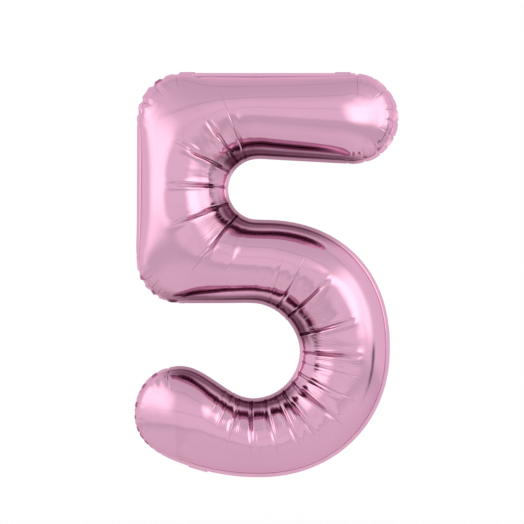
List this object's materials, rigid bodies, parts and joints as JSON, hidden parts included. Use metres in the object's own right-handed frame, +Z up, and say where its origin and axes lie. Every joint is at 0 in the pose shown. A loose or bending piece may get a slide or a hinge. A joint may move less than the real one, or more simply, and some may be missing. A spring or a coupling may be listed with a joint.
{
  "type": "foil number balloon",
  "caption": "Inflated metallic foil numeral 5 of two seam-welded film panels, with a valved filling tail and hanging tabs that fold at the seam.",
  "frame": {"origin": "middle of the top seam edge, where the numeral hangs, on the seam plane", "axes": "+Z up along the numeral's height, +X to the right as the numeral is read, front panel faces -Y"},
  "size_m": [0.572, 0.186, 0.8774],
  "materials": {
    "foil_front": "pink metallised film, mirror gloss, finely crinkled near the seam",
    "foil_back": "pink metallised film, mirror gloss, finely crinkled near the seam",
    "foil_tab": "pink metallised film, two plies welded, faint weld pattern",
    "valve_film": "thin translucent polyethylene film, satin"
  },
  "bodies": {
    "envelope": {"front_panel": "foil_front", "back_panel": "foil_back", "valve_front_film": "valve_film", "valve_back_film": "valve_film"},
    "tail": {"tail_front_ply": "foil_front", "tail_back_ply": "foil_back", "tail_valve_front_film": "valve_film", "tail_valve_back_film": "valve_film"},
    "left_tab": {"hang_tab_left": "foil_tab"},
    "right_tab": {"hang_tab_right": "foil_tab"}
  },
  "joints": [
    {"name": "tail_fold", "type": "hinge", "parent": "envelope", "child": "tail", "pos_m": [-0.14876, 0, -0.85825], "axis": [-0.9624, 0, 0.2717], "range_deg": [-15, 195]},
    {"name": "left_tab_fold", "type": "hinge", "parent": "envelope", "child": "left_tab", "pos_m": [-0.171, 0, 0.002], "axis": [1, 0, 0], "range_deg": [-15, 195]},
    {"name": "right_tab_fold", "type": "hinge", "parent": "envelope", "child": "right_tab", "pos_m": [0.165, 0, 0.002], "axis": [1, 0, 0], "range_deg": [-15, 195]}
  ]
}
